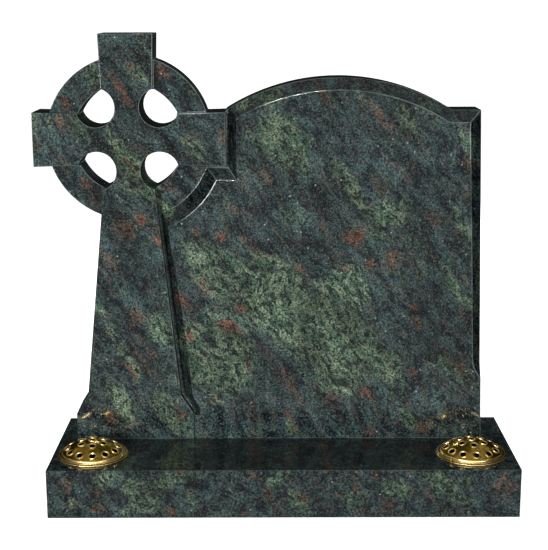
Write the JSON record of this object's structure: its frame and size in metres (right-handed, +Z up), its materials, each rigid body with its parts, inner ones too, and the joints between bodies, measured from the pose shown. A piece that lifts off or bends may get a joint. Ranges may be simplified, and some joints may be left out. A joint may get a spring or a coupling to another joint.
{
  "type": "celtic cross headstone",
  "caption": "Granite headstone carved as a ringed cross beside an arched tablet, on a low base with sunk flower containers under domed, pierced lids.",
  "frame": {"origin": "middle of the base's underside, on the ground", "axes": "+X to the viewer's right along the base, +Y from the front to the back, +Z up"},
  "size_m": [0.9448, 0.305, 0.9155],
  "materials": {
    "granite": "polished green granite with olive, teal and rust clouds",
    "gold_aluminium": "gold anodised, polished"
  },
  "bodies": {
    "root": {"headstone": "granite", "base": "granite", "flower_container_left": "gold_aluminium", "flower_container_right": "gold_aluminium", "flower_lid_left": "gold_aluminium", "flower_lid_right": "gold_aluminium"}
  },
  "joints": []
}
